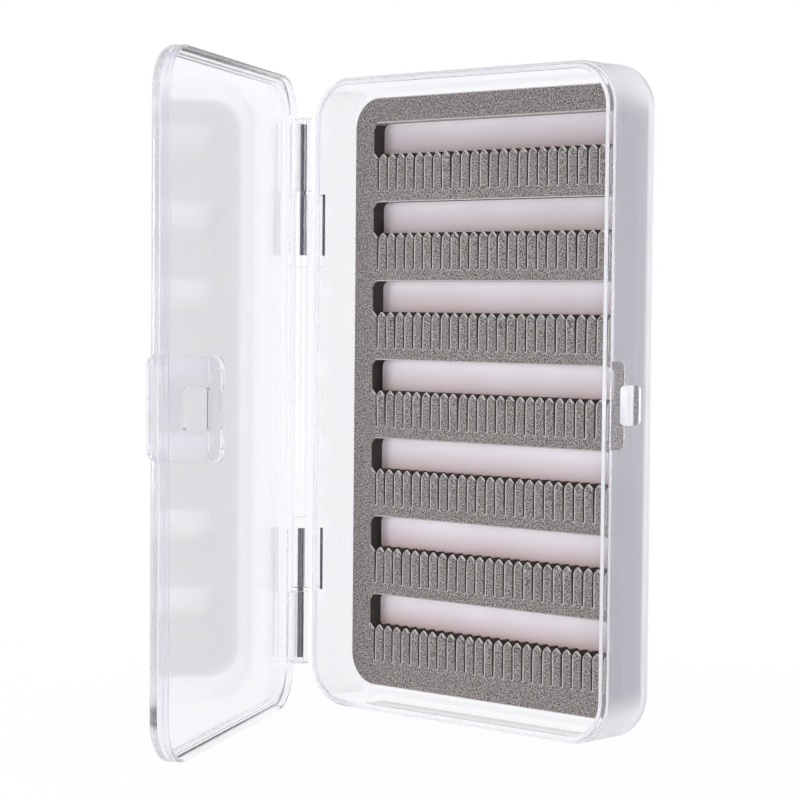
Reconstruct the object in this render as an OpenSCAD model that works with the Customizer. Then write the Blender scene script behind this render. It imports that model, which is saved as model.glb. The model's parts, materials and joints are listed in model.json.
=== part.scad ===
// Fly box: a flat clear case with a pinned hinge, a snap latch and a slit foam insert.
// The case stands on one short end. Z runs along its length and X across its width.
// The tray opens toward -Y and the hinge is on the -X side.
// The origin is the middle of the flat on the tray's lower end.

/* [Case] */
// Length of the case, along Z
case_length = 150; // [130:1:190]
// Width of the case, along X
case_width = 90; // [80:1:120]
// Radius of the case's four corners
corner_radius = 10.5; // [8:0.5:14]
// Thickness of the tray's and the lid's side walls
wall = 1.8; // [1.6:0.1:2.4]
// Depth of the tray, from the parting plane to its back
tray_depth = 16; // [13:0.5:24]
// Thickness of the tray's floor
tray_floor = 1.4; // [1:0.1:2.5]
// Rounding of the tray's back edge
tray_edge = 3; // [1:0.25:3.5]
// Depth of the lid, from the parting plane to its outer face
lid_depth = 4.6; // [3.8:0.1:8]
// Thickness of the lid's plate
lid_plate = 1.5; // [1:0.1:2]
// Rounding of the lid's outer edge
lid_edge = 1.5; // [0.5:0.25:2]
// Rounding inside, where the walls meet the floor or the plate
inner_edge = 0.6; // [0.3:0.1:0.8]

/* [Half-lap rim] */
// Height of the tray's tongue above the parting plane
tongue_height = 1.45; // [0.8:0.05:1.8]
// Width of the tray's shoulder, outside the tongue
shoulder = 0.7; // [0.5:0.05:0.9]
// Clearance all round between the closed lid and the tray
lap_gap = 0.12; // [0.08:0.02:0.2]

/* [Hinge] */
// Distance of the hinge axis from the case's side
hinge_reach = 4.6; // [3.6:0.1:6]
// Outer diameter of the knuckles
knuckle_d = 4.2; // [3.2:0.1:5]
// Diameter of the plain bar between the tray's knuckles
bar_d = 3.6; // [2.4:0.1:4]
// Length of each lid knuckle
lid_knuckle_length = 17.7; // [12:0.1:20]
// Length of each tray knuckle
tray_knuckle_length = 17.4; // [15.6:0.1:20]
// Gap between a lid knuckle and a tray knuckle
knuckle_gap = 0.7; // [0.3:0.1:1.5]
// Distance from the end of the case to the lid's knuckle
hinge_inset = 8.9; // [6:0.1:12]
// Clearance between a knuckle's web and the other half of the case
web_gap = 0.2; // [0.1:0.05:0.4]
// Diameter of the hinge pins
pin_d = 1.5; // [0.8:0.1:1.8]
// Length of each hinge pin
pin_length = 31.5; // [26:0.5:33]
// Depth of the pin's head below the end of the lid's knuckle
pin_recess = 1.5; // [0.5:0.1:3]
// Running clearance round the pin in the tray's knuckles
pin_clearance = 0.05; // [0.03:0.01:0.15]
// Clearance past the pin's end, in the blind bore
pin_end_gap = 0.3; // [0.1:0.1:1]

/* [Latch] */
// Length of the tab past the parting plane
tab_reach = 12.1; // [11:0.1:14]
// Width of the tab, along Z
tab_width = 22.3; // [18:0.1:28]
// Thickness of the tab
tab_thickness = 1.8; // [1.4:0.1:2.4]
// Radius of the tab's corners
tab_corner = 2.5; // [1.8:0.1:4]
// Rounding of the tab's outer edge
tab_edge = 0.8; // [0.3:0.1:0.9]
// Gap between the tab and the tray's wall
tab_gap = 0.2; // [0.1:0.05:0.4]
// Distance from the parting plane to the tab's window
window_start = 3.4; // [2.6:0.1:4]
// Length of the tab's window, along Y
window_length = 5.3; // [4.6:0.1:6]
// Width of the tab's window, along Z
window_width = 9; // [7:0.1:12]
// Radius of the window's corners
window_corner = 0.8; // [0.3:0.1:1.5]
// Relief cut into the inside of the tab past its window, where it snaps over the catch
snap_relief = 0.7; // [0.4:0.1:0.9]
// Height of the lip above the tab
lip_height = 0.8; // [0.4:0.1:1.5]
// Length of the lip, back from the tab's tip
lip_length = 2.4; // [1.6:0.1:3]
// Width of the lip, along Z
lip_width = 16.8; // [12:0.1:17]
// Width of the thumb notch in the tab's tip
notch_width = 7.7; // [4:0.1:10]
// Depth of the thumb notch
notch_depth = 0.6; // [0.3:0.1:1]
// Height of the catch above the tray's wall
catch_height = 1.2; // [0.8:0.1:1.4]
// Length of the catch's flat top, behind its ramp
catch_flat = 2.7; // [1.5:0.1:3]
// Length of the catch's ramp
catch_ramp = 2.7; // [1:0.1:2.7]
// Radius of the catch's corners
catch_corner = 1; // [0.4:0.1:1.4]
// Clearance between the catch and the edges of the tab's window
catch_gap = 0.12; // [0.08:0.02:0.3]
// Length of the recess under the tab, from the parting plane
recess_length = 4.4; // [3:0.1:6]
// Width of the recess, along Z
recess_width = 19.2; // [14:0.1:20]
// Depth of the recess in the wall
recess_depth = 0.35; // [0.2:0.05:0.5]
// Radius of the recess's corners
recess_corner = 1.6; // [0.6:0.1:2.5]

/* [Foam insert] */
// Thickness of the foam
foam_thickness = 3.8; // [2.5:0.1:6]
// Gap between the foam and the tray's long sides
foam_side_gap = 0.9; // [0.8:0.1:2]
// Gap between the foam and the tray's ends
foam_end_gap = 2.2; // [0.8:0.1:4]
// Radius of the foam's corners
foam_corner = 7.5; // [7:0.1:9]
// Least border of solid foam beside the rows
side_border = 6; // [4:0.1:8]
// Least border of solid foam past the first and the last row
end_border = 5.9; // [4:0.1:8]
// Distance from one tooth to the next
tooth_pitch = 2.9; // [2.5:0.1:4]
// Length of a tooth, from its point to the foot of its slits
tooth_length = 8.9; // [6:0.1:11]
// Height of a tooth's pointed tip
tip_height = 1.3; // [0.6:0.1:1.8]
// Width of the slits between the teeth
slit = 0.3; // [0.2:0.05:0.5]
// Height of the open window above each row of teeth
row_window = 7.2; // [5:0.1:9]
// Radius of the window's upper corners
row_corner = 1.8; // [0.8:0.1:2.4]
// Band of solid foam between two rows
row_web = 2.85; // [2:0.05:5]
// Thickness of the backing sheet between the foam and the tray's floor
backing = 0.2; // [0.1:0.05:0.5]

/* [Pose] */
// Angle of the open lid
lid_angle = 61.8; // [0:0.1:180]

/* [Hidden] */
$fn = 96;
past = 1;
sunk = 0.5;
half_length = case_length / 2;
half_width = case_width / 2;
parting_y = -(tray_depth - tray_edge) / 2;
floor_y = tray_depth - tray_floor;
plate_y = lid_plate - lid_depth;

knuckle_r = knuckle_d / 2;
axis_x = -half_width - hinge_reach;
lid_knuckle_end = half_length - hinge_inset;
lid_knuckle_start = lid_knuckle_end - lid_knuckle_length;
tray_knuckle_end = lid_knuckle_start - knuckle_gap;
tray_knuckle_start = tray_knuckle_end - tray_knuckle_length;
pin_end = lid_knuckle_end - pin_recess;
pin_start = pin_end - pin_length;

window_end = window_start + window_length;
catch_end = window_end - catch_gap;
catch_ridge = catch_end - catch_flat;
catch_start = catch_ridge - catch_ramp;
catch_width = window_width - 2 * catch_gap;

foam_width = case_width - 2 * (wall + foam_side_gap);
foam_length = case_length - 2 * (wall + foam_end_gap);
foam_back_y = floor_y - backing;
foam_front_y = foam_back_y - foam_thickness;
slits = floor((foam_width - 2 * side_border) / tooth_pitch);
row_width = slits * tooth_pitch;
row_pitch = row_window + tooth_length + row_web;
rows = floor((foam_length - 2 * end_border + row_web) / row_pitch);
rows_span = rows * row_pitch - row_web;

// Outlines. Each is centred on the origin.

module rounded_rect(w, h, r) {
    square([w - 2 * r, h], center = true);
    square([w, h - 2 * r], center = true);
    for (x = [-1, 1], y = [-1, 1])
        translate([x * (w / 2 - r), y * (h / 2 - r)]) circle(r);
}

// A section of a pan from side to side, with its back edges rounded
module pan_section(w, depth, edge) {
    translate([-w / 2, 0]) square([w, depth - edge]);
    translate([edge - w / 2, 0]) square([w - 2 * edge, depth]);
    for (x = [-1, 1]) translate([x * (w / 2 - edge), depth - edge]) circle(edge);
}

// Half of that section, for a corner
module corner_section(r, depth, edge) {
    square([r, depth - edge]);
    square([r - edge, depth]);
    translate([r - edge, depth - edge]) circle(edge);
}

// Extrudes an outline drawn in X and Z from y0 to y1
module across(y0, y1) {
    translate([0, y1, 0]) rotate([90, 0, 0]) linear_extrude(y1 - y0) children();
}

// Extrudes an outline drawn in Y and Z from x0 to x1
module outward(x0, x1) {
    translate([x0, 0, 0]) rotate([90, 0, 90]) linear_extrude(x1 - x0) children();
}

// A rounded block from Y = 0 to Y = depth, with a rounded edge round its back
module pan(w, h, r, depth, edge) {
    linear_extrude(h - 2 * r, center = true) pan_section(w, depth, edge);
    rotate([0, 90, 0]) linear_extrude(w - 2 * r, center = true) pan_section(h, depth, edge);
    for (c = [[1, -1, 0], [-1, -1, 90], [-1, 1, 180], [1, 1, 270]])
        translate([c.x * (w / 2 - r), 0, c.y * (h / 2 - r)])
            rotate([0, c.z, 0]) rotate([-90, 0, 0])
                rotate_extrude(angle = 90) corner_section(r, depth, edge);
}

// The case's outline, drawn in by a distance from its outer side
module case_outline(inset) {
    rounded_rect(case_width - 2 * inset, case_length - 2 * inset, corner_radius - inset);
}

module case_pan(inset, depth, edge) {
    pan(case_width - 2 * inset, case_length - 2 * inset, corner_radius - inset, depth, edge);
}

// Hinge parts. side is 1 on the tray and -1 on the lid.

module knuckle(z0, z1, d, side) {
    translate([axis_x, 0, z0]) cylinder(d = d, h = z1 - z0);
    web_start = side > 0 ? web_gap : -d / 2;
    translate([axis_x, web_start, z0])
        cube([hinge_reach + sunk, d / 2 - web_gap, z1 - z0]);
}

module hinge_bore(z0, z1, clearance) {
    translate([axis_x, 0, z0]) cylinder(d = pin_d + 2 * clearance, h = z1 - z0);
}

module hinge_pin() {
    translate([axis_x, 0, pin_start]) cylinder(d = pin_d, h = pin_length);
}

module both_ends() {
    children();
    mirror([0, 0, 1]) children();
}

// Latch parts

module catch() {
    x0 = half_width - recess_depth - sunk;
    ramp_foot = half_width - recess_depth;
    top = half_width + catch_height;
    intersection() {
        linear_extrude(catch_width, center = true)
            polygon([
                [x0, catch_start],
                [ramp_foot, catch_start],
                [top, catch_ridge],
                [top, catch_end],
                [x0, catch_end]
            ]);
        outward(x0, top)
            translate([(catch_start + catch_end) / 2, 0])
                rounded_rect(catch_end - catch_start, catch_width, catch_corner);
    }
}

module recess() {
    outward(half_width - recess_depth, half_width + past)
        rounded_rect(2 * recess_length, recess_width, recess_corner);
}

module tab() {
    inner = half_width + tab_gap;
    outer = inner + tab_thickness;
    length = lid_depth + tab_reach;
    middle = (tab_reach - lid_depth) / 2;
    difference() {
        union() {
            translate([inner, middle, 0])
                rotate([0, 0, -90]) pan(length, tab_width, tab_corner, tab_thickness, tab_edge);
            outward(half_width - lid_edge, inner + tab_thickness / 2)
                translate([-(lid_depth + lap_gap) / 2, 0])
                    square([lid_depth - lap_gap, tab_width - 2 * tab_corner], center = true);
            outward(outer - tab_edge, outer + lip_height)
                translate([tab_reach - lip_length / 2, 0])
                    rounded_rect(lip_length, lip_width, lip_length / 3);
        }
        outward(half_width - past, outer + past)
            translate([(window_start + window_end) / 2, 0])
                rounded_rect(window_length, window_width, window_corner);
        outward(half_width, inner + snap_relief)
            translate([window_end + tab_reach / 2, 0])
                square([tab_reach, tab_width + past], center = true);
        outward(half_width, outer + lip_height + past)
            translate([tab_reach, 0]) square([2 * notch_depth, notch_width], center = true);
    }
}

// Nodes, with the lid closed, Y = 0 on the parting plane and Z = 0 at mid length

module tray_body() {
    difference() {
        union() {
            case_pan(0, tray_depth, tray_edge);
            across(-tongue_height, sunk) case_outline(shoulder);
            both_ends() knuckle(tray_knuckle_start, tray_knuckle_end, knuckle_d, 1);
            knuckle(-tray_knuckle_start - sunk, tray_knuckle_start + sunk, bar_d, 1);
        }
        translate([0, -tongue_height - past, 0])
            case_pan(wall, floor_y + tongue_height + past, inner_edge);
        both_ends() hinge_bore(pin_start - pin_end_gap, tray_knuckle_end + past, pin_clearance);
        recess();
    }
    catch();
}

module lid_body() {
    difference() {
        union() {
            mirror([0, 1, 0]) translate([0, lap_gap, 0]) case_pan(0, lid_depth - lap_gap, lid_edge);
            both_ends() knuckle(lid_knuckle_start, lid_knuckle_end, knuckle_d, -1);
            tab();
        }
        across(-tongue_height - lap_gap, past) case_outline(shoulder - lap_gap);
        mirror([0, 1, 0]) translate([0, -past, 0]) case_pan(wall, past - plate_y, inner_edge);
        both_ends() hinge_bore(lid_knuckle_start - past, lid_knuckle_end + past, 0);
    }
}

// One row: the open window, the pointed tips and the slits. Y = 0 is the line of the points.
module row_cut() {
    half = row_width / 2;
    slit_centres = [for (i = [0 : slits - 1]) (i + 0.5) * tooth_pitch - half];
    polygon(concat(
        [[half, row_window - row_corner], [-half, row_window - row_corner], [-half, 0]],
        [for (x = slit_centres) each [
            [x - slit / 2, -tip_height],
            [x - slit / 2, -tooth_length],
            [x + slit / 2, -tooth_length],
            [x + slit / 2, -tip_height],
            [x + tooth_pitch / 2, 0]
        ]]
    ));
    translate([0, row_window / 2 + row_corner / 2])
        rounded_rect(row_width, row_window - row_corner, row_corner);
}

module foam() {
    first = rows_span / 2 - row_window;
    across(foam_front_y, foam_back_y)
        difference() {
            rounded_rect(foam_width, foam_length, foam_corner);
            for (i = [0 : rows - 1]) translate([0, first - i * row_pitch]) row_cut();
        }
}

// Placement in the part's frame

module placed() {
    translate([0, parting_y, half_length]) children();
}

module swung() {
    translate([axis_x, 0, 0]) rotate([0, 0, -lid_angle]) translate([-axis_x, 0, 0]) children();
}

module tray() {
    color([0.86, 0.9, 0.94, 0.45]) placed() tray_body();
}

module lid() {
    color([0.9, 0.93, 0.96, 0.4]) placed() swung() lid_body();
}

module upper_hinge_pin() {
    color([0.3, 0.3, 0.32]) placed() swung() hinge_pin();
}

module lower_hinge_pin() {
    color([0.3, 0.3, 0.32]) placed() swung() mirror([0, 0, 1]) hinge_pin();
}

module foam_insert() {
    color([0.52, 0.51, 0.5]) placed() foam();
}

module backing_sheet() {
    color([0.85, 0.78, 0.78])
        placed() across(foam_back_y, floor_y) rounded_rect(foam_width, foam_length, foam_corner);
}

tray();
lid();
upper_hinge_pin();
lower_hinge_pin();
foam_insert();
backing_sheet();
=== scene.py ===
import json
import math

import bmesh
import bpy
from mathutils import Matrix, Vector
from mathutils.noise import noise


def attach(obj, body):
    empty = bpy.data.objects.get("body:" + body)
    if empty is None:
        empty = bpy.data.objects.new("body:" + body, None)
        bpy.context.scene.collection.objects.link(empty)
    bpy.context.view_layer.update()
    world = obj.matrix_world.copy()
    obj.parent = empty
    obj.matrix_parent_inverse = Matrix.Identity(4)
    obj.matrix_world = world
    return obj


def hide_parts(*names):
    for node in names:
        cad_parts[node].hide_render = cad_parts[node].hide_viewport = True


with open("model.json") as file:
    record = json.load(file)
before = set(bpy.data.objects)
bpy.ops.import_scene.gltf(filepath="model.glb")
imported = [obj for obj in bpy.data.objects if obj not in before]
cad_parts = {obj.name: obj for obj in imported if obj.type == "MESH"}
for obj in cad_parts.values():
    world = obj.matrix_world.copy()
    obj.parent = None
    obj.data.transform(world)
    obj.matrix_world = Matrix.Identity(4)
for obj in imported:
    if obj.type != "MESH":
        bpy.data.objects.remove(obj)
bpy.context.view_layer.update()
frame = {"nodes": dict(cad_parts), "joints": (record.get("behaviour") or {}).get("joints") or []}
nodes = frame["nodes"]
scene = bpy.context.scene

# ---------------------------------------------------------------------------
# The view. The case stands on its lower end and is seen from the latch side,
# from a little above half its height, through a long lens.
# ---------------------------------------------------------------------------
VIEW_FROM = Vector((0.363231, -0.422740, 0.097462))
VIEW_RIGHT = Vector((0.737588, 0.675192, 0.008919))
VIEW_UP = Vector((-0.040616, 0.031176, 0.998688))
VIEW_BACK = Vector((0.674029, -0.736983, 0.050419))
LENS_MM = 108.71
SHIFT = (0.0009, 0.0277)

camera_data = bpy.data.cameras.new("camera")
camera = bpy.data.objects.new("camera", camera_data)
scene.collection.objects.link(camera)
camera_data.sensor_width = 36
camera_data.lens = LENS_MM
camera_data.shift_x, camera_data.shift_y = SHIFT
camera_data.clip_start, camera_data.clip_end = 0.02, 20
turn = Matrix((VIEW_RIGHT, VIEW_UP, VIEW_BACK)).transposed().to_4x4()
camera.matrix_world = Matrix.Translation(VIEW_FROM) @ turn
scene.camera = camera

# ---------------------------------------------------------------------------
# The tray: one clear injection moulding, a deep pan with a stepped rim, two
# knuckles and a bar along its hinge side, and the latch's catch on the other.
# It is polished, but for its latch side, which the mould leaves satin.
# ---------------------------------------------------------------------------
# Sizes here are in millimetres, with the case closed, Y = 0 where its halves part
# and Z = 0 at mid length.
MM = 0.001
HINGE = next(joint for joint in frame["joints"] if joint["name"] == "lid_hinge")
HINGE_X, PARTING_Y, MID_Z = (place / MM for place in HINGE["pos_m"])
HALF_LENGTH = MID_Z
HALF_WIDTH = 45.0
CORNER = 10.5
WALL = 1.8
TRAY_DEPTH = 16.0
TRAY_FLOOR = 1.4
TRAY_EDGE = 3.0
SHOULDER = 0.7
TONGUE = 1.45
INNER_EDGE = 0.6
MOULD_EDGE = 0.16
CORNER_STEPS = 20
ROUND_STEPS = 14
MOULD_STEPS = 3
CLOSE = 0.01
RING_WELD = 0.001
FIT_WELD = 0.0005

# An edge counts as bent or sharp from these angles on, in radians.
BENT = 0.5
SHARP = 1

REACH_X = HALF_WIDTH - CORNER
REACH_Z = HALF_LENGTH - CORNER


def swept_pan(section):
    """A pan: a section of (inset, Y) points swept round the case's outline, then closed flat."""
    bm = bmesh.new()
    ring = [bm.verts.new((HALF_WIDTH - inset, y, REACH_Z)) for inset, y in section]
    line = [bm.edges.new(pair) for pair in zip(ring, ring[1:])]
    for x, z, run in (
            (REACH_X, REACH_Z, (-2 * REACH_X, 0, 0)),
            (-REACH_X, REACH_Z, (0, 0, -2 * REACH_Z)),
            (-REACH_X, -REACH_Z, (2 * REACH_X, 0, 0)),
            (REACH_X, -REACH_Z, (0, 0, 2 * REACH_Z))):
        swung = bmesh.ops.spin(
            bm, geom=ring + line, cent=(x, 0, z), axis=(0, -1, 0), angle=math.pi / 2,
            steps=CORNER_STEPS)["geom_last"]
        side = bmesh.ops.extrude_edge_only(
            bm, edges=[e for e in swung if isinstance(e, bmesh.types.BMEdge)])["geom"]
        ring = [v for v in side if isinstance(v, bmesh.types.BMVert)]
        line = [e for e in side if isinstance(e, bmesh.types.BMEdge)]
        bmesh.ops.translate(bm, verts=ring, vec=run)
        line = [e for e in line if all(v in ring for v in e.verts)]
    bmesh.ops.remove_doubles(bm, verts=bm.verts, dist=RING_WELD)
    bmesh.ops.holes_fill(bm, edges=[e for e in bm.edges if e.is_boundary], sides=0)
    bmesh.ops.recalc_face_normals(bm, faces=bm.faces)
    return bm


def inset_of(point):
    """How far a point lies inside the case's outline."""
    return CORNER - math.hypot(max(abs(point.x) - REACH_X, 0), max(abs(point.z) - REACH_Z, 0))


def rounded(bm, edges, radius, steps, clamped=True):
    """Rounds edges of a mesh by a radius."""
    bmesh.ops.bevel(
        bm, geom=edges, offset=radius, offset_type="OFFSET", segments=steps, profile=0.5,
        affect="EDGES", clamp_overlap=clamped, material=-1)


def round_rim(bm, place, radius, steps):
    """Rounds the edge that runs round a pan at one (inset, Y) place of its section."""
    rounded(bm, [e for e in bm.edges if all(
        abs(inset_of(v.co) - place[0]) < CLOSE and abs(v.co.y - place[1]) < CLOSE
        for v in e.verts)], radius, steps)


def block(x, y, z):
    """A block between the low and the high X, Y and Z."""
    bm = bmesh.new()
    bmesh.ops.create_cube(bm, size=1)
    spans = (x, y, z)
    bmesh.ops.scale(bm, vec=[high - low for low, high in spans], verts=bm.verts)
    bmesh.ops.translate(bm, vec=[(low + high) / 2 for low, high in spans], verts=bm.verts)
    return bm


def edges_along(bm, axis):
    """A mesh's edges that run straight along X, Y or Z."""
    direction = Vector([letter == axis for letter in "XYZ"])
    return [e for e in bm.edges
            if abs((e.verts[1].co - e.verts[0].co).normalized().dot(direction)) > 0.999]


def plate(x, y, z, corner, steps=ROUND_STEPS):
    """A block whose four corners, seen along X, are rounded."""
    bm = block(x, y, z)
    rounded(bm, edges_along(bm, "X"), corner, steps)
    return bm


def rod(radius, z, edge=0):
    """A round rod on the hinge's axis, between a low and a high Z, with its ends' edges rounded."""
    bm = bmesh.new()
    bmesh.ops.create_cone(
        bm, cap_ends=True, segments=64, radius1=radius, radius2=radius, depth=z[1] - z[0])
    bmesh.ops.translate(bm, vec=(HINGE_X, 0, (z[0] + z[1]) / 2), verts=bm.verts)
    if edge:
        rounded(bm, [e for e in bm.edges if e.calc_face_angle() > SHARP], edge, MOULD_STEPS)
    return bm


def fitted(base, other, operation):
    """Two closed meshes made one: the other is joined to the base, cut from it or trims it."""
    pair = []
    for bm in (base, other):
        mesh = bpy.data.meshes.new("moulding")
        bm.to_mesh(mesh)
        bm.free()
        pair.append(bpy.data.objects.new("moulding", mesh))
        scene.collection.objects.link(pair[-1])
    fit = pair[0].modifiers.new("fit", "BOOLEAN")
    fit.operation = operation
    fit.solver = "EXACT"
    fit.object = pair[1]
    whole = bmesh.new()
    whole.from_object(pair[0], bpy.context.evaluated_depsgraph_get())
    for piece in pair:
        bpy.data.meshes.remove(piece.data)
    bmesh.ops.remove_doubles(whole, verts=whole.verts, dist=FIT_WELD)
    return whole


def mirrored(bm):
    """The same mesh for the other end of the case."""
    copy = bm.copy()
    bmesh.ops.scale(copy, vec=(1, 1, -1), verts=copy.verts)
    bmesh.ops.reverse_faces(copy, faces=copy.faces)
    return copy


def fitted_at_both_ends(base, other, operation):
    """A mesh fitted to the base at both ends of the case."""
    return fitted(fitted(base, mirrored(other), operation), other, operation)


WEB_GAP = 0.2
WEB_SUNK = 0.5
KNUCKLE_R = 2.1
KNUCKLE_EDGE = 0.2
FLAT_WEIGHT = 80


def knuckle(radius, z, web_y):
    """A knuckle with the web that carries it from the case's side."""
    web = block((HINGE_X, WEB_SUNK - HALF_WIDTH), web_y, z)
    return fitted(rod(radius, z, KNUCKLE_EDGE), web, "UNION")


def finished(bm, name, place, sharp_angle=30):
    """A finished mesh as a piece, in the frame's metres, smooth over its rounded edges."""
    bmesh.ops.transform(bm, matrix=Matrix.Scale(MM, 4) @ place, verts=bm.verts)
    for face in bm.faces:
        face.smooth = True
    mesh = bpy.data.meshes.new(name)
    bm.to_mesh(mesh)
    bm.free()
    mesh.set_sharp_from_angle(angle=math.radians(sharp_angle))
    piece = bpy.data.objects.new(name, mesh)
    scene.collection.objects.link(piece)
    even = piece.modifiers.new("flat_faces_stay_flat", "WEIGHTED_NORMAL")
    even.keep_sharp = True
    even.weight = FLAT_WEIGHT
    return piece


BAR_R = 1.8
TRAY_KNUCKLE = (30.3, 47.7)
TRAY_BORE = (33.0, 48.7)
TRAY_BORE_R = 0.8

tray = swept_pan([
    (0, TRAY_DEPTH), (0, 0), (SHOULDER, 0), (SHOULDER, -TONGUE), (WALL, -TONGUE),
    (WALL, TRAY_DEPTH - TRAY_FLOOR)])
round_rim(tray, (0, TRAY_DEPTH), TRAY_EDGE, ROUND_STEPS)
round_rim(tray, (WALL, TRAY_DEPTH - TRAY_FLOOR), INNER_EDGE, ROUND_STEPS)
for step in ((0, 0), (SHOULDER, 0), (SHOULDER, -TONGUE), (WALL, -TONGUE)):
    round_rim(tray, step, MOULD_EDGE, MOULD_STEPS)

bar_reach = TRAY_KNUCKLE[0] + WEB_SUNK
bar = knuckle(BAR_R, (-bar_reach, bar_reach), (WEB_GAP, BAR_R))
tray = fitted(tray, bar, "UNION")
upper = knuckle(KNUCKLE_R, TRAY_KNUCKLE, (WEB_GAP, KNUCKLE_R))
tray = fitted_at_both_ends(tray, upper, "UNION")
tray = fitted_at_both_ends(tray, rod(TRAY_BORE_R, TRAY_BORE), "DIFFERENCE")

# The catch's ramp climbs from the recess's floor to a flat top, and its corners are round.
RECESS_DEPTH = 0.35
RECESS_REACH = 4.4
RECESS_WIDTH = 19.2
RECESS_CORNER = 1.6
CATCH_TOP = HALF_WIDTH + 1.2
CATCH_Y = (3.18, 5.88, 8.58)
CATCH_WIDTH = 8.76
CATCH_CORNER = 1.0
CATCH_EDGE = 0.3

recess = plate(
    (HALF_WIDTH - RECESS_DEPTH, HALF_WIDTH + 1), (-RECESS_REACH, RECESS_REACH),
    (-RECESS_WIDTH / 2, RECESS_WIDTH / 2), RECESS_CORNER)
tray = fitted(tray, recess, "DIFFERENCE")
rounded(tray, [e for e in tray.edges if e.calc_face_angle(0) > BENT and all(
    abs(v.co.x - HALF_WIDTH) < CLOSE and MOULD_EDGE < v.co.y < RECESS_REACH + CLOSE
    and abs(v.co.z) < RECESS_WIDTH / 2 + CLOSE for v in e.verts)], MOULD_EDGE, MOULD_STEPS)

ramp = bmesh.new()
foot = HALF_WIDTH - RECESS_DEPTH
outline = [
    (foot - WEB_SUNK, CATCH_Y[0]), (foot, CATCH_Y[0]), (CATCH_TOP, CATCH_Y[1]),
    (CATCH_TOP, CATCH_Y[2]), (foot - WEB_SUNK, CATCH_Y[2])]
side = bmesh.ops.contextual_create(
    ramp, geom=[ramp.verts.new((x, y, -CATCH_WIDTH / 2)) for x, y in outline])["faces"]
grown = bmesh.ops.extrude_face_region(ramp, geom=side)["geom"]
bmesh.ops.translate(
    ramp, verts=[v for v in grown if isinstance(v, bmesh.types.BMVert)], vec=(0, 0, CATCH_WIDTH))
bmesh.ops.recalc_face_normals(ramp, faces=ramp.faces)
catch = fitted(ramp, plate(
    (foot - WEB_SUNK, CATCH_TOP), (CATCH_Y[0], CATCH_Y[2]), (-CATCH_WIDTH / 2, CATCH_WIDTH / 2),
    CATCH_CORNER), "INTERSECT")
rounded(catch, [e for e in catch.edges if e.calc_face_angle() > BENT and all(
    v.co.x > CATCH_TOP - CLOSE for v in e.verts)], CATCH_EDGE, MOULD_STEPS)
tray = fitted(tray, catch, "UNION")

# The latch side is etched satin. The rim all round, the latch side's edge to the back, and
# the catch's ramp and edges are frosted. All else is polished.
CLEAR, SATIN, FROSTED = 0, 1, 2
ON_SURFACE = 0.02
SQUARE_ON = 0.99

tray.normal_update()
for face in tray.faces:
    place = face.calc_center_median()
    facing = face.normal
    inset = inset_of(place)
    on_latch_side = place.x > REACH_X and facing.x > -0.5
    if on_latch_side and abs(inset) < ON_SURFACE and place.y > 0:
        face.material_index = SATIN
    elif on_latch_side and ON_SURFACE < inset < TRAY_EDGE and 0.02 < facing.y < SQUARE_ON:
        face.material_index = FROSTED
    elif facing.y < -0.9 and -ON_SURFACE < inset < WALL and place.y < MOULD_EDGE:
        face.material_index = FROSTED
    elif place.x > HALF_WIDTH + 0.1:
        face.material_index = CLEAR if facing.x > SQUARE_ON else FROSTED
tray_place = Matrix.Translation((0, PARTING_Y, MID_Z))
tray_shell = finished(tray, "tray_shell", tray_place)


def new_material(name):
    """A material with its node tree and its shader."""
    material = bpy.data.materials.new(name)
    material.use_nodes = True
    return material, material.node_tree, material.node_tree.nodes["Principled BSDF"]


def feed(tree, node, values):
    """Gives a node's inputs plain values or other nodes' outputs."""
    for name, value in values.items():
        if isinstance(value, bpy.types.NodeSocket):
            tree.links.new(value, node.inputs[name])
        else:
            node.inputs[name].default_value = value


def added(tree, kind, values, **settings):
    """A new shader node with its settings and its inputs' values."""
    node = tree.nodes.new("ShaderNode" + kind)
    for name, setting in settings.items():
        setattr(node, name, setting)
    feed(tree, node, values)
    return node


def object_place(tree):
    """The place of a point in the frame, in metres."""
    return added(tree, "TexCoord", {}).outputs["Object"]


def noise_at(tree, place, scale=5, detail=2, roughness=0.5):
    """A noise texture's value at a place."""
    return added(tree, "TexNoise", {
        "Vector": place, "Scale": scale, "Detail": detail, "Roughness": roughness}).outputs["Fac"]


def ranged(tree, value, start, end, low=0, high=1, how="LINEAR"):
    """A value that goes from low to high while another one goes from start to end."""
    return added(tree, "MapRange", {
        "Value": value, "From Min": start, "From Max": end, "To Min": low, "To Max": high},
        interpolation_type=how).outputs["Result"]


def mixed_shaders(tree, share, first, second):
    """The first of two shaders, mixed with a share of the second."""
    return added(tree, "MixShader", {0: share, 1: first, 2: second}).outputs["Shader"]


def new_group(name, inputs, outputs):
    """A shader node group with its inputs and outputs, and the two nodes that hold them."""
    group = bpy.data.node_groups.new(name, "ShaderNodeTree")
    for way, sockets in (("INPUT", inputs), ("OUTPUT", outputs)):
        for socket, kind in sockets.items():
            group.interface.new_socket(socket, in_out=way, socket_type="NodeSocket" + kind)
    return group, group.nodes.new("NodeGroupInput"), group.nodes.new("NodeGroupOutput")


HAZE_SCALE, HAZE_DETAIL = 60, 4
FLOW_SCALE, FLOW_DETAIL = 30, 1
FLOW_WAVE = 0.01
PLASTIC_IOR = 1.5
PASSED_LIGHT = (0.94, 0.94, 0.95, 1)
PLASTIC_TINT = (0.955, 0.953, 0.985, 1)
TRAY_HAZE = (0.02, 0.07)


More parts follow.
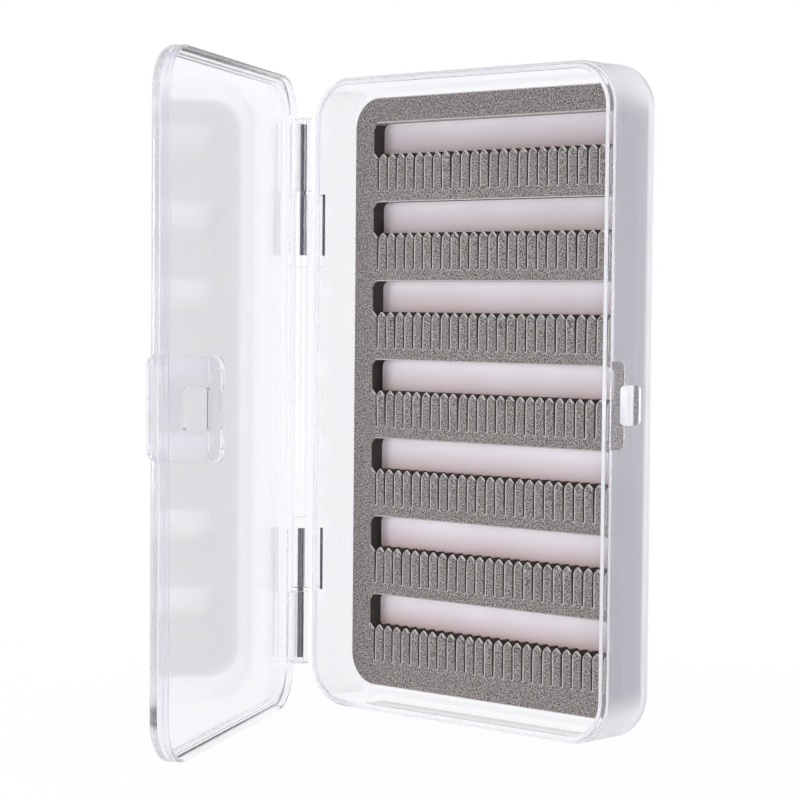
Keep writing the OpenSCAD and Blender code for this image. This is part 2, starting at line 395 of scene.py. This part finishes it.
def moulding_marks():
    """The marks that moulding and handling leave on clear plastic: faint flow waves and haze."""
    group, given, put = new_group(
        "moulding_marks", {"Wave": "Float", "Low haze": "Float", "High haze": "Float"},
        {"Roughness": "Float", "Normal": "Vector"})
    haze = noise_at(group, object_place(group), HAZE_SCALE, HAZE_DETAIL)
    flow = noise_at(group, object_place(group), FLOW_SCALE, FLOW_DETAIL)
    bump = added(group, "Bump", {"Height": flow, "Distance": given.outputs["Wave"]})
    feed(group, put, {
        "Roughness": ranged(
            group, haze, 0, 1, given.outputs["Low haze"], given.outputs["High haze"]),
        "Normal": bump.outputs["Normal"]})
    return group


marks_of_moulding = moulding_marks()


def let_light_through(tree, shader):
    """Lets plastic pass the light that falls on what is behind it."""
    shadow_ray = added(tree, "LightPath", {}).outputs["Is Shadow Ray"]
    through = added(tree, "BsdfTransparent", {"Color": PASSED_LIGHT})
    feed(tree, tree.nodes["Material Output"], {"Surface": mixed_shaders(
        tree, shadow_ray, shader.outputs["BSDF"], through.outputs["BSDF"])})


def clear_plastic(name, tint, haze):
    """Clear polished plastic, which handling has hazed between a low and a high roughness."""
    material, tree, shader = new_material(name)
    marks = added(tree, "Group", {
        "Wave": FLOW_WAVE * MM, "Low haze": haze[0], "High haze": haze[1]},
        node_tree=marks_of_moulding)
    feed(tree, shader, {
        "Base Color": tint, "Roughness": marks.outputs["Roughness"],
        "Normal": marks.outputs["Normal"], "Transmission Weight": 1, "IOR": PLASTIC_IOR})
    let_light_through(tree, shader)
    return material


def maths(tree, operation, *values):
    """The result of a sum on numbers or other nodes' outputs."""
    return added(
        tree, "Math", dict(enumerate(values)), operation=operation).outputs["Value"]


def parts_of(tree, vector):
    """A vector's X, Y and Z."""
    return added(tree, "SeparateXYZ", {"Vector": vector}).outputs


def stretched(tree, scale):
    """The place of a point, scaled along each axis, which draws a pattern out into lines."""
    return added(
        tree, "Mapping", {"Vector": object_place(tree), "Scale": scale}).outputs["Vector"]


def dimmed(tree, colour, amount):
    """A colour times an amount."""
    return added(
        tree, "VectorMath", {0: colour, "Scale": amount}, operation="SCALE").outputs["Vector"]


def mixed(tree, share, first, second, kind="RGBA", how="MIX"):
    """The first of two colours or values, mixed with a share of the second."""
    return added(
        tree, "Mix", {"Factor": share, "A": first, "B": second},
        data_type=kind, blend_type=how).outputs["Result"]


# The etching is paler round the case's corners. Along the back a paler tint is painted on, a
# painted highlight where the rounded back edge catches the light.
STREAK_SCALE = (1, 420, 4)
STREAK_START, STREAK_END = 0.3, 0.7
STREAK_SHADE = 0.9
SATIN_ROUGHNESS = (0.4, 0.55)
CORNER_PALE = ((REACH_Z - 2) * MM, (REACH_Z + 4) * MM)
PAINTED_BACK_HIGHLIGHT = ((PARTING_Y + 10.9) * MM, (PARTING_Y + 11.9) * MM)
SATIN_TINT = (0.73, 0.73, 0.81, 1)
FROST_TINT = (0.97, 0.97, 1.0, 1)
SATIN_CLEARNESS = 0.65
FROST_CLEARNESS = 0.45


def etching():
    """Etched plastic's colour and roughness, with faint streaks along the case and a painted
    highlight along its back.
    """
    group, given, put = new_group(
        "etching", {"Tint": "Color", "Pale tint": "Color"},
        {"Color": "Color", "Roughness": "Float"})
    streaks = noise_at(group, stretched(group, STREAK_SCALE))
    shade = ranged(group, streaks, STREAK_START, STREAK_END, STREAK_SHADE)
    place = parts_of(group, object_place(group))
    from_mid = maths(group, "ABSOLUTE", maths(group, "SUBTRACT", place["Z"], MID_Z * MM))
    # Paler round the corners, and a painted highlight along the back.
    pale = maths(
        group, "MAXIMUM", ranged(group, from_mid, *CORNER_PALE, how="SMOOTHSTEP"),
        ranged(group, place["Y"], *PAINTED_BACK_HIGHLIGHT, how="SMOOTHSTEP"))
    feed(group, put, {
        "Color": mixed(
            group, pale, dimmed(group, given.outputs["Tint"], shade), given.outputs["Pale tint"]),
        "Roughness": ranged(group, streaks, 0, 1, *SATIN_ROUGHNESS)})
    return group


satin_etching = etching()


def satin_plastic(name, tint, clearness):
    """The same plastic where the mould is etched satin."""
    material, tree, shader = new_material(name)
    etched = added(
        tree, "Group", {"Tint": tint, "Pale tint": FROST_TINT}, node_tree=satin_etching)
    feed(tree, shader, {
        "Base Color": etched.outputs["Color"], "Roughness": etched.outputs["Roughness"],
        "Transmission Weight": clearness, "IOR": PLASTIC_IOR})
    let_light_through(tree, shader)
    return material


clear_tray = clear_plastic("clear_tray_plastic", PLASTIC_TINT, TRAY_HAZE)
satin_side = satin_plastic("satin_side", SATIN_TINT, SATIN_CLEARNESS)
frosted_edges = satin_plastic("frosted_edges", FROST_TINT, FROST_CLEARNESS)
for plastic in (clear_tray, satin_side, frosted_edges):
    tray_shell.data.materials.append(plastic)
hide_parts("tray")
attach(tray_shell, "tray_body")

# ---------------------------------------------------------------------------
# The lid: a shallow clear moulding that laps over the tray's tongue, with two
# knuckles on its hinge side and the springy latch tab on the other. It is
# polished, but for the satin rim beside the latch.
# ---------------------------------------------------------------------------
LID_OPEN = math.radians(-HINGE["range_deg"][0])
LID_DEPTH = 4.6
LID_PLATE = 1.5
LID_EDGE = 1.5
LAP_GAP = 0.12
LID_KNUCKLE = (48.4, 66.1)
LID_BORE = (47.4, 67.1)
PIN_R = 0.75
PIN_AIR = 0.01
LID_TINT = (0.938, 0.933, 0.972, 1)
LID_HAZE = (0.07, 0.1)

lap = SHOULDER - LAP_GAP
pocket = -TONGUE - LAP_GAP
lid = swept_pan([
    (0, -LID_DEPTH), (0, -LAP_GAP), (lap, -LAP_GAP), (lap, pocket), (WALL, pocket),
    (WALL, LID_PLATE - LID_DEPTH)])
round_rim(lid, (0, -LID_DEPTH), LID_EDGE, ROUND_STEPS)
round_rim(lid, (WALL, LID_PLATE - LID_DEPTH), INNER_EDGE, ROUND_STEPS)
for step in ((0, -LAP_GAP), (lap, -LAP_GAP), (lap, pocket), (WALL, pocket)):
    round_rim(lid, step, MOULD_EDGE, MOULD_STEPS)

# The tab is a rounded plate that a bridge joins to the lid's side, beside the pocket for the
# tongue. It has a lip at its tip, a window for the catch, a relief inside past the window
# and a notch for the thumb.
TAB_X = (45.2, 47.0)
TAB_TIP = 12.1
TAB_WIDTH = 22.3
TAB_CORNER = 2.5
TAB_EDGE = 0.8
LIP_TOP = 47.8
LIP_START = 9.7
LIP_WIDTH = 16.8
LIP_CORNER = 0.8
LIP_EDGE = 0.3
WINDOW_Y = (3.4, 8.7)
WINDOW_WIDTH = 9.0
WINDOW_CORNER = 0.8
RELIEF_X = 45.9
NOTCH = (0.6, 7.7)


def across(width):
    """Low and high Z of something centred on the tab."""
    return (-width / 2, width / 2)


tab = plate(TAB_X, (-LID_DEPTH, TAB_TIP), across(TAB_WIDTH), TAB_CORNER)
rounded(tab, [e for e in tab.edges if e.calc_face_angle() > SHARP and all(
    v.co.x > TAB_X[1] - CLOSE for v in e.verts)], TAB_EDGE, ROUND_STEPS)
bridge_z = across(TAB_WIDTH - 2 * TAB_CORNER)
bridge_top = sum(TAB_X) / 2
bridge = block((HALF_WIDTH - LID_EDGE, bridge_top), (-LID_DEPTH, pocket - LAP_GAP), bridge_z)
beside_pocket = block((HALF_WIDTH - lap / 2, bridge_top), (-LID_DEPTH, -LAP_GAP), bridge_z)
bridge = fitted(bridge, beside_pocket, "UNION")
lip = plate((TAB_X[1] - TAB_EDGE, LIP_TOP), (LIP_START, TAB_TIP), across(LIP_WIDTH), LIP_CORNER)
rounded(lip, [e for e in lip.edges if e.calc_face_angle() > SHARP and all(
    v.co.x > LIP_TOP - CLOSE for v in e.verts)], LIP_EDGE, MOULD_STEPS)
window = plate((HALF_WIDTH - 1, LIP_TOP), WINDOW_Y, across(WINDOW_WIDTH), WINDOW_CORNER)
relief = block((HALF_WIDTH, RELIEF_X), (WINDOW_Y[1], TAB_TIP + 1), across(TAB_WIDTH + 1))
notch = block((HALF_WIDTH, LIP_TOP + 1), (TAB_TIP - NOTCH[0], TAB_TIP + 1), across(NOTCH[1]))
tab = fitted(tab, lip, "UNION")
for tool in (window, relief, notch):
    tab = fitted(tab, tool, "DIFFERENCE")
lid = fitted(lid, bridge, "UNION")
lid = fitted(lid, tab, "UNION")

upper = knuckle(KNUCKLE_R, LID_KNUCKLE, (-KNUCKLE_R, -WEB_GAP))
lid = fitted_at_both_ends(lid, upper, "UNION")
lid = fitted_at_both_ends(lid, rod(PIN_R + PIN_AIR, LID_BORE), "DIFFERENCE")

hinge_axis = Matrix.Translation((HINGE_X, 0, 0))
lid_place = tray_place @ hinge_axis @ Matrix.Rotation(-LID_OPEN, 4, "Z") @ hinge_axis.inverted()
lid.normal_update()
for face in lid.faces:
    place = face.calc_center_median()
    on_rim = face.normal.y > 0.9 and 0 < inset_of(place) < WALL and place.y > pocket - CLOSE
    if on_rim and place.x > REACH_X:
        face.material_index = SATIN
lid_shell = finished(lid, "lid_shell", lid_place)
lid_shell.data.materials.append(clear_plastic("clear_lid_plastic", LID_TINT, LID_HAZE))
lid_shell.data.materials.append(satin_side)
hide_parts("lid")
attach(lid_shell, "lid_body")

# ---------------------------------------------------------------------------
# The hinge pins: two short lengths of drawn steel wire, pressed into the lid's
# knuckles. The drawing leaves fine lines along them.
# ---------------------------------------------------------------------------
PIN_Z = (33.1, 64.6)
PIN_EDGE = 0.15
LINE_SCALE = (9000, 9000, 120)
LINE_DETAIL = 3
DARK_STEEL = (0.07, 0.07, 0.075)
LIGHT_STEEL = (0.19, 0.19, 0.195)
STEEL_ROUGHNESS = (0.15, 0.32)


def toned(tree, value, start, *others):
    """A ramp's colour at a value. Each stop of the ramp is a place on it and a colour."""
    step = added(tree, "ValToRGB", {"Fac": value})
    stops = step.color_ramp.elements
    stops.remove(stops[1])
    stops[0].position = start[0]
    stops[0].color = (*start[1], 1)
    for place, colour in others:
        stops.new(place).color = (*colour, 1)
    return step.outputs["Color"]


wire, tree, shader = new_material("drawn_wire")
lines = noise_at(tree, stretched(tree, LINE_SCALE), detail=LINE_DETAIL)
feed(tree, shader, {
    "Base Color": toned(tree, lines, (0, DARK_STEEL), (1, LIGHT_STEEL)),
    "Roughness": ranged(tree, lines, 0, 1, *STEEL_ROUGHNESS), "Metallic": 1})

for name, pin in (("upper_hinge_pin", rod(PIN_R, PIN_Z, PIN_EDGE)),
                  ("lower_hinge_pin", mirrored(rod(PIN_R, PIN_Z, PIN_EDGE)))):
    wire_pin = finished(pin, name + "_wire", lid_place)
    wire_pin.data.materials.append(wire)
    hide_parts(name)
    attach(wire_pin, "lid_body")

# ---------------------------------------------------------------------------
# The foam insert: fine closed-cell foam, die cut with seven windows and a comb of slit teeth below
# each. The die leaves its edges soft. The edges that face the light are painted pale, a painted
# highlight, and the cut walls are painted dark, a painted shade. No two teeth stand quite alike. It
# is bonded to the backing sheet.
# ---------------------------------------------------------------------------
FOAM_EDGE = 0.32
FOAM_EDGE_STEPS = 3
TIP_ROUND = 0.45
# The width of the pale line painted as a highlight right of each slit.
PAINTED_HIGHLIGHT_WIDTH = 0.75
CAD_WELD = 0.002
FLAT_ANGLE = math.radians(0.4)
CUT_ANGLE = math.radians(25)
TOOTH_PITCH = 2.9
TOOTH_LENGTH = 8.9
ROW_PITCH = 18.95
ROWS = 7
ROW_HALF = 36.25
FIRST_TIPS = MID_Z + 57.7
BENDS = (2.2, 4.4, 6.6)
TOOTH_LIFT = 0.3
TOOTH_SWAY = 0.1
TOOTH_STEP, ROW_STEP = 3.7, 5.3
ABOVE_TIPS = 0.05
# PALE marks a painted highlight on an edge's vertex, PLAIN marks none.
PALE, PLAIN = 1.0, 0.1
# DARK and HALF_DARK are painted shade on a wall's face.
DARK, HALF_DARK = 1.0, 0.45

bm = bmesh.new()
bm.from_mesh(nodes["foam_insert"].data)
bmesh.ops.remove_doubles(bm, verts=bm.verts, dist=CAD_WELD * MM)
bmesh.ops.dissolve_limit(bm, angle_limit=FLAT_ANGLE, verts=bm.verts, edges=bm.edges)
bmesh.ops.scale(bm, vec=(1 / MM, 1 / MM, 1 / MM), verts=bm.verts)
front = min(v.co.y for v in bm.verts)
thickness = max(v.co.y for v in bm.verts) - front
corners = [e for e in edges_along(bm, "Y") if e.is_convex and e.calc_face_angle() > CUT_ANGLE]
rounded(bm, corners, TIP_ROUND, FOAM_EDGE_STEPS)
die_edges = [e for e in bm.edges if e.calc_face_angle() > CUT_ANGLE
             and all(v.co.y < front + CLOSE for v in e.verts)]
rounded(bm, die_edges, FOAM_EDGE, FOAM_EDGE_STEPS, clamped=False)

# Extra edges across each row of teeth let the mesh bend there.
for row in range(ROWS):
    for bend in BENDS:
        bmesh.ops.bisect_plane(
            bm, geom=bm.verts[:] + bm.edges[:] + bm.faces[:], dist=1e-4,
            plane_co=(0, 0, FIRST_TIPS - row * ROW_PITCH - bend), plane_no=(0, 0, 1))
bm.normal_update()

# Each tooth stands a little up or down and to one side, most at its tip. Its left edge and its tip
# are painted pale, a painted highlight on the rounded edges that face the light. Steps through the
# noise give each tooth a stance of its own.
pale = bm.verts.layers.float.new("painted_edge_highlight")
for v in bm.verts:
    if front + CLOSE < v.co.y < front + FOAM_EDGE * 1.1:
        v[pale] = PALE if v.normal.x < 0.2 or v.normal.z > 0.25 else PLAIN
    row, below_tips = divmod(FIRST_TIPS + ABOVE_TIPS - v.co.z, ROW_PITCH)
    tooth = round((v.co.x + ROW_HALF) / TOOTH_PITCH)
    last = round(2 * ROW_HALF / TOOTH_PITCH)
    if below_tips < TOOTH_LENGTH and 0 < tooth < last:
        freedom = (1 - below_tips / TOOTH_LENGTH) ** 1.5
        depth = 1 - (v.co.y - front) / thickness
        each = Vector((tooth * TOOTH_STEP, row * ROW_STEP, 0.5))
        wobble = noise(Vector((tooth * TOOTH_STEP, v.co.z * 0.5, 9.5)))
        v.co.y -= TOOTH_LIFT * noise(each) * freedom * depth
        v.co.x += TOOTH_SWAY * (noise(each + Vector((0, 0, 4))) + wobble) * freedom

# The walls of the windows and slits are painted dark, a painted shade where the light doesn't reach
# into the cuts, and so is the rounded edge left of each slit, which faces away from the light.
painted_wall_shade = bm.faces.layers.float.new("painted_wall_shade")
for face in bm.faces:
    middle = face.calc_center_median()
    if abs(middle.x) > ROW_HALF + 1 or abs(middle.z - MID_Z) > HALF_LENGTH - CORNER:
        continue
    level = abs(face.normal.y)
    face[painted_wall_shade] = DARK if level < 0.25 else 0
    if face.normal.x > 0.3 and level < 0.8 and abs(face.normal.z) < 0.3:
        face[painted_wall_shade] = DARK if level < 0.5 else HALF_DARK
foam_pad = finished(bm, "foam_pad", Matrix(), sharp_angle=60)

CELL_SCALE, CELL_DETAIL = 2900, 3
CELL_CONTRAST = 0.65
CELL_DARK = (0.04, 0.035, 0.033)
CELL_LIGHT = (0.44, 0.40, 0.385)
# The painted highlight's colour, and its share, on the teeth's edges.
PAINTED_HIGHLIGHT_TINT = (0.72, 0.67, 0.65, 1)
PAINTED_HIGHLIGHT_SHARE = 0.8
# The painted shade on the cut walls.
PAINTED_SHADE_TINT = (0.036, 0.027, 0.024, 1)
FOAM_ROUGHNESS = 0.85
CELL_RELIEF = 0.06


def painted(tree, name):
    """A value that the mesh carries."""
    return added(tree, "Attribute", {}, attribute_name=name).outputs["Fac"]


foam, tree, shader = new_material("grey_foam")
cells = noise_at(tree, object_place(tree), CELL_SCALE, CELL_DETAIL, CELL_CONTRAST)
grain = toned(tree, cells, (0.40, CELL_DARK), (0.62, CELL_LIGHT))

# A pale line is painted along the edge to the right of each slit, a painted highlight where that
# edge faces the light.
place = parts_of(tree, object_place(tree))
from_slit = maths(tree, "ADD", place["X"], (ROW_HALF - TOOTH_PITCH / 2) * MM)
in_tooth = maths(tree, "FLOORED_MODULO", from_slit, TOOTH_PITCH * MM)
painted_slit_highlight = ranged(tree, in_tooth, PAINTED_HIGHLIGHT_WIDTH * MM, PAINTED_HIGHLIGHT_WIDTH * MM / 2)
below = maths(tree, "SUBTRACT", FIRST_TIPS * MM, place["Z"])
in_row = maths(tree, "FLOORED_MODULO", below, ROW_PITCH * MM)
row_reach = (ROW_HALF - TOOTH_PITCH / 2 + PAINTED_HIGHLIGHT_WIDTH) * MM
for limit in (
        maths(tree, "LESS_THAN", in_row, TOOTH_LENGTH * MM),
        maths(tree, "GREATER_THAN", below, 0),
        maths(tree, "LESS_THAN", maths(tree, "ABSOLUTE", place["X"]), row_reach)):
    painted_slit_highlight = maths(tree, "MULTIPLY", painted_slit_highlight, limit)
# The painted highlights from the mesh and along the slits are mixed over the grain.
painted_highlights = maths(tree, "MAXIMUM", painted_slit_highlight, painted(tree, "painted_edge_highlight"))
face_colour = mixed(tree, maths(tree, "MULTIPLY", painted_highlights, PAINTED_HIGHLIGHT_SHARE), grain, PAINTED_HIGHLIGHT_TINT)
bump = added(tree, "Bump", {"Strength": 0.5, "Distance": CELL_RELIEF * MM, "Height": cells})
# The cut walls take the painted shade.
feed(tree, shader, {
    "Base Color": mixed(tree, painted(tree, "painted_wall_shade"), face_colour, PAINTED_SHADE_TINT),
    "Roughness": FOAM_ROUGHNESS, "Normal": bump.outputs["Normal"]})
foam_pad.data.materials.append(foam)
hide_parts("foam_insert")
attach(foam_pad, "tray_body")

# ---------------------------------------------------------------------------
# The backing sheet: a thin pinkish-white film that bonds the foam to the tray's floor. It shows in
# the windows, darker and pinker at the teeth with painted shade and lighter above with painted
# light, and it is painted lighter towards the case's lower end.
# ---------------------------------------------------------------------------
ROW_WINDOW = 7.2
UNDER_TIPS = 3.0
CLOUD_SCALE = 40
CLOUD_SHARE = 0.3
BACK_TONE = 0.6
# The film's tones up each window: painted shade at the teeth, painted light towards the window's
# top.
FILM_TONES_WITH_PAINTED_LIGHT_AND_SHADE = (
    (0, (0.47, 0.36, 0.35)), (0.45, (0.61, 0.54, 0.57)), (0.72, (0.73, 0.67, 0.71)),
    (1, (0.94, 0.885, 0.93)))
# Painted light: the film is made lighter towards the case's lower end and darker towards its top.
PAINTED_LIGHT_LOW_END, PAINTED_LIGHT_HIGH_END = 1.24, 0.80
FILM_ROUGHNESS = 0.35

film, tree, shader = new_material("pinkish_film")
place = parts_of(tree, object_place(tree))
above = maths(tree, "SUBTRACT", place["Z"], (FIRST_TIPS - UNDER_TIPS) * MM)
in_row = maths(tree, "FLOORED_MODULO", above, ROW_PITCH * MM)
height = ranged(tree, in_row, UNDER_TIPS * MM, (UNDER_TIPS + ROW_WINDOW) * MM)

# Behind, the film lies on the tray's floor and shows no rows.
outward = parts_of(tree, added(tree, "TexCoord", {}).outputs["Normal"])
behind = maths(tree, "GREATER_THAN", outward["Y"], 0)
tone = mixed(tree, behind, height, BACK_TONE, kind="FLOAT")
cloud = noise_at(tree, object_place(tree), CLOUD_SCALE)
clouded = maths(tree, "MULTIPLY_ADD", cloud, CLOUD_SHARE, tone)
centred = maths(tree, "SUBTRACT", clouded, CLOUD_SHARE / 2)
# Painted light down the case, lighter at the lower end.
painted_light_down_the_case = ranged(tree, place["Z"], 0, 2 * HALF_LENGTH * MM, PAINTED_LIGHT_LOW_END, PAINTED_LIGHT_HIGH_END)
feed(tree, shader, {
    "Base Color": dimmed(tree, toned(tree, centred, *FILM_TONES_WITH_PAINTED_LIGHT_AND_SHADE), painted_light_down_the_case),
    "Roughness": FILM_ROUGHNESS})
nodes["backing_sheet"].data.materials.clear()
nodes["backing_sheet"].data.materials.append(film)

# ---------------------------------------------------------------------------
# The studio: a white floor and background, a soft key light from the left and
# in front, a soft fill from the right and a weak light from behind.
# ---------------------------------------------------------------------------
FLOOR_HALF = 1.5
FLOOR_TINT = (0.9, 0.9, 0.9, 1)
FLOOR_ROUGHNESS = 0.9
NEAR_WHITE = 0.96
NEAR, FAR = 0.04, 0.17

bm = bmesh.new()
bmesh.ops.create_grid(bm, x_segments=1, y_segments=1, size=FLOOR_HALF)
mesh = bpy.data.meshes.new("floor")
bm.to_mesh(mesh)
bm.free()
floor = bpy.data.objects.new("floor", mesh)
scene.collection.objects.link(floor)


def seen_directly(tree):
    """1 for rays that show the background itself: from the camera, in gloss and through plastic."""
    ray = added(tree, "LightPath", {}).outputs
    in_gloss = maths(tree, "MAXIMUM", ray["Is Camera Ray"], ray["Is Glossy Ray"])
    return maths(tree, "MAXIMUM", in_gloss, ray["Is Transmission Ray"])


# The floor shows a faint shadow near the case and fades to plain white away from it.
white, tree, shader = new_material("white_floor")
feed(tree, shader, {
    "Base Color": FLOOR_TINT, "Roughness": FLOOR_ROUGHNESS, "Specular IOR Level": 0})
away = added(tree, "VectorMath", {0: object_place(tree)}, operation="LENGTH").outputs["Value"]
whiteness = ranged(tree, away, NEAR, FAR, low=NEAR_WHITE, how="SMOOTHSTEP")
glow = added(tree, "Emission", {}).outputs["Emission"]
feed(tree, tree.nodes["Material Output"], {"Surface": mixed_shaders(
    tree, maths(tree, "MULTIPLY", seen_directly(tree), whiteness), shader.outputs["BSDF"], glow)})
floor.data.materials.append(white)

# The light tent: gloss and clear plastic see it white all round, lavender grey overhead and
# underneath, and dark where it is open at the front. The camera sees it plain white.
WHITE = (1, 1, 1)
AMBIENT = (0.97, 0.98, 1, 1)
AMBIENT_STRENGTH = 0.8
TENT_DARK = (0.40, 0.40, 0.56)
OPEN_SIDE = (0.674, -0.737, 0.05)
OPEN_DARK = (0.30, 0.30, 0.42)

world = bpy.data.worlds.new("studio")
world.use_nodes = True
scene.world = world
tree = world.node_tree
ambient = tree.nodes["Background"]
feed(tree, ambient, {"Color": AMBIENT, "Strength": AMBIENT_STRENGTH})
direction = added(tree, "TexCoord", {}).outputs["Generated"]
upward = maths(tree, "ABSOLUTE", parts_of(tree, direction)["Z"])
roof = toned(tree, upward, (0.6, WHITE), (0.95, TENT_DARK))
toward = added(tree, "VectorMath", {0: direction, 1: OPEN_SIDE}, operation="DOT_PRODUCT")
opening = toned(tree, toward.outputs["Value"], (0.72, WHITE), (0.86, OPEN_DARK))
tent = mixed(tree, 1, roof, opening, how="MULTIPLY")
from_camera = added(tree, "LightPath", {}).outputs["Is Camera Ray"]
backdrop = added(tree, "Background", {"Color": mixed(tree, from_camera, tent, (*WHITE, 1))})
feed(tree, tree.nodes["World Output"], {"Surface": mixed_shaders(
    tree, seen_directly(tree), ambient.outputs["Background"], backdrop.outputs["Background"])})


def soft_box(name, place, aim, size, power):
    """A square soft light that faces a point. It isn't itself seen through the clear plastic."""
    data = bpy.data.lights.new(name, "AREA")
    data.size = size
    data.energy = power
    lamp = bpy.data.objects.new(name, data)
    lamp.location = place
    lamp.visible_transmission = False
    lamp.rotation_euler = (Vector(aim) - Vector(place)).to_track_quat("-Z", "Y").to_euler()
    scene.collection.objects.link(lamp)


MIDDLE = (0, 0, HALF_LENGTH * MM)
soft_box("key", place=(-0.45, -0.7, 0.03), aim=MIDDLE, size=0.3, power=2.4)
soft_box("fill", place=(0.7, -0.35, 0.09), aim=(0, 0, 0.04), size=0.3, power=2.2)
soft_box("edge", place=(0.12, 0.75, 0.1), aim=MIDDLE, size=0.25, power=1.1)

scene.view_settings.view_transform = "Standard"

# Light runs a long way inside clear walls before it leaves them.
MOST_BOUNCES, CLEAR_BOUNCES = 32, 24
scene.cycles.max_bounces = MOST_BOUNCES
scene.cycles.glossy_bounces = CLEAR_BOUNCES
scene.cycles.transmission_bounces = CLEAR_BOUNCES
scene.cycles.transparent_max_bounces = CLEAR_BOUNCES
